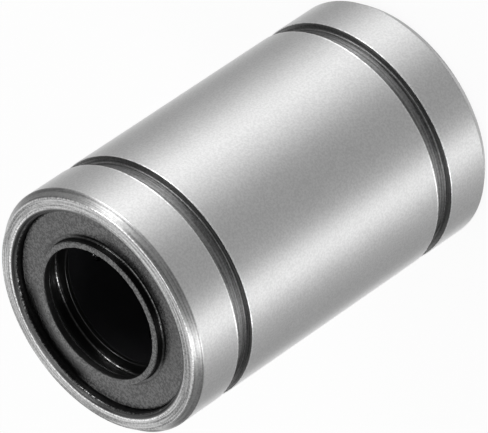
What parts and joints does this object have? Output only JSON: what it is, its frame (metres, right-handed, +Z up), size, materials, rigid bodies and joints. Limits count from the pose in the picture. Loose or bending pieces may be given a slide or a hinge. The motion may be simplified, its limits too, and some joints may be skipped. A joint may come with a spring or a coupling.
{
  "type": "linear ball bearing",
  "caption": "Linear ball bearing: a plain steel sleeve with two outer retaining ring grooves, a rubber seal at each end, and recirculating balls round the shaft bore.",
  "frame": {"origin": "centre of the bottom end face of the sleeve, on the shaft axis", "axes": "+Z up along the shaft axis, towards the other end face; +X towards the first loaded row of balls"},
  "size_m": [0.015, 0.015, 0.024],
  "materials": {
    "sleeve": "fine ground hardened steel, satin",
    "retainer": "moulded, matt",
    "seal": "moulded rubber, fine grain",
    "snap_ring": "spring steel, oiled",
    "ball": "polished hardened steel"
  },
  "bodies": {
    "bearing": {"outer_sleeve": "sleeve", "ball_retainer": "retainer", "top_seal": "seal", "bottom_seal": "seal", "top_snap_ring": "snap_ring", "bottom_snap_ring": "snap_ring"},
    "loaded_row_1": {"loaded_balls_1": "ball"},
    "return_row_1": {"return_balls_1": "ball"},
    "top_turn_1": {"top_turn_balls_1": "ball"},
    "bottom_turn_1": {"bottom_turn_balls_1": "ball"},
    "loaded_row_2": {"loaded_balls_2": "ball"},
    "return_row_2": {"return_balls_2": "ball"},
    "top_turn_2": {"top_turn_balls_2": "ball"},
    "bottom_turn_2": {"bottom_turn_balls_2": "ball"},
    "loaded_row_3": {"loaded_balls_3": "ball"},
    "return_row_3": {"return_balls_3": "ball"},
    "top_turn_3": {"top_turn_balls_3": "ball"},
    "bottom_turn_3": {"bottom_turn_balls_3": "ball"},
    "loaded_row_4": {"loaded_balls_4": "ball"},
    "return_row_4": {"return_balls_4": "ball"},
    "top_turn_4": {"top_turn_balls_4": "ball"},
    "bottom_turn_4": {"bottom_turn_balls_4": "ball"}
  },
  "joints": [
    {"name": "loaded_row_1_travel", "type": "slide", "parent": "bearing", "child": "loaded_row_1", "axis": [0, 0, 1], "range_m": [-0.0009, 0.0009]},
    {"name": "return_row_1_travel", "type": "slide", "parent": "bearing", "child": "return_row_1", "axis": [0, 0, 1], "range_m": [-0.0009, 0.0009]},
    {"name": "top_turn_1_roll", "type": "hinge", "parent": "bearing", "child": "top_turn_1", "pos_m": [0.00481, 0.00115, 0.01832], "axis": [1, 0, 0], "range_deg": [-45.1, 45.1]},
    {"name": "bottom_turn_1_roll", "type": "hinge", "parent": "bearing", "child": "bottom_turn_1", "pos_m": [0.00481, 0.00115, 0.00568], "axis": [1, 0, 0], "range_deg": [-45.1, 45.1]},
    {"name": "loaded_row_2_travel", "type": "slide", "parent": "bearing", "child": "loaded_row_2", "axis": [0, 0, 1], "range_m": [-0.0009, 0.0009]},
    {"name": "return_row_2_travel", "type": "slide", "parent": "bearing", "child": "return_row_2", "axis": [0, 0, 1], "range_m": [-0.0009, 0.0009]},
    {"name": "top_turn_2_roll", "type": "hinge", "parent": "bearing", "child": "top_turn_2", "pos_m": [-0.00115, 0.00481, 0.01832], "axis": [0, 1, 0], "range_deg": [-45.1, 45.1]},
    {"name": "bottom_turn_2_roll", "type": "hinge", "parent": "bearing", "child": "bottom_turn_2", "pos_m": [-0.00115, 0.00481, 0.00568], "axis": [0, 1, 0], "range_deg": [-45.1, 45.1]},
    {"name": "loaded_row_3_travel", "type": "slide", "parent": "bearing", "child": "loaded_row_3", "axis": [0, 0, 1], "range_m": [-0.0009, 0.0009]},
    {"name": "return_row_3_travel", "type": "slide", "parent": "bearing", "child": "return_row_3", "axis": [0, 0, 1], "range_m": [-0.0009, 0.0009]},
    {"name": "top_turn_3_roll", "type": "hinge", "parent": "bearing", "child": "top_turn_3", "pos_m": [-0.00481, -0.00115, 0.01832], "axis": [-1, 0, 0], "range_deg": [-45.1, 45.1]},
    {"name": "bottom_turn_3_roll", "type": "hinge", "parent": "bearing", "child": "bottom_turn_3", "pos_m": [-0.00481, -0.00115, 0.00568], "axis": [-1, 0, 0], "range_deg": [-45.1, 45.1]},
    {"name": "loaded_row_4_travel", "type": "slide", "parent": "bearing", "child": "loaded_row_4", "axis": [0, 0, 1], "range_m": [-0.0009, 0.0009]},
    {"name": "return_row_4_travel", "type": "slide", "parent": "bearing", "child": "return_row_4", "axis": [0, 0, 1], "range_m": [-0.0009, 0.0009]},
    {"name": "top_turn_4_roll", "type": "hinge", "parent": "bearing", "child": "top_turn_4", "pos_m": [0.00115, -0.00481, 0.01832], "axis": [0, -1, 0], "range_deg": [-45.1, 45.1]},
    {"name": "bottom_turn_4_roll", "type": "hinge", "parent": "bearing", "child": "bottom_turn_4", "pos_m": [0.00115, -0.00481, 0.00568], "axis": [0, -1, 0], "range_deg": [-45.1, 45.1]}
  ],
  "couplings": [
    {"joint": "return_row_1_travel", "follows": "loaded_row_1_travel", "ratio": -1},
    {"joint": "top_turn_1_roll", "follows": "loaded_row_1_travel", "rad_per_m": -869.75},
    {"joint": "bottom_turn_1_roll", "follows": "loaded_row_1_travel", "rad_per_m": -869.75},
    {"joint": "return_row_2_travel", "follows": "loaded_row_2_travel", "ratio": -1},
    {"joint": "top_turn_2_roll", "follows": "loaded_row_2_travel", "rad_per_m": -869.75},
    {"joint": "bottom_turn_2_roll", "follows": "loaded_row_2_travel", "rad_per_m": -869.75},
    {"joint": "return_row_3_travel", "follows": "loaded_row_3_travel", "ratio": -1},
    {"joint": "top_turn_3_roll", "follows": "loaded_row_3_travel", "rad_per_m": -869.75},
    {"joint": "bottom_turn_3_roll", "follows": "loaded_row_3_travel", "rad_per_m": -869.75},
    {"joint": "return_row_4_travel", "follows": "loaded_row_4_travel", "ratio": -1},
    {"joint": "top_turn_4_roll", "follows": "loaded_row_4_travel", "rad_per_m": -869.75},
    {"joint": "bottom_turn_4_roll", "follows": "loaded_row_4_travel", "rad_per_m": -869.75}
  ]
}
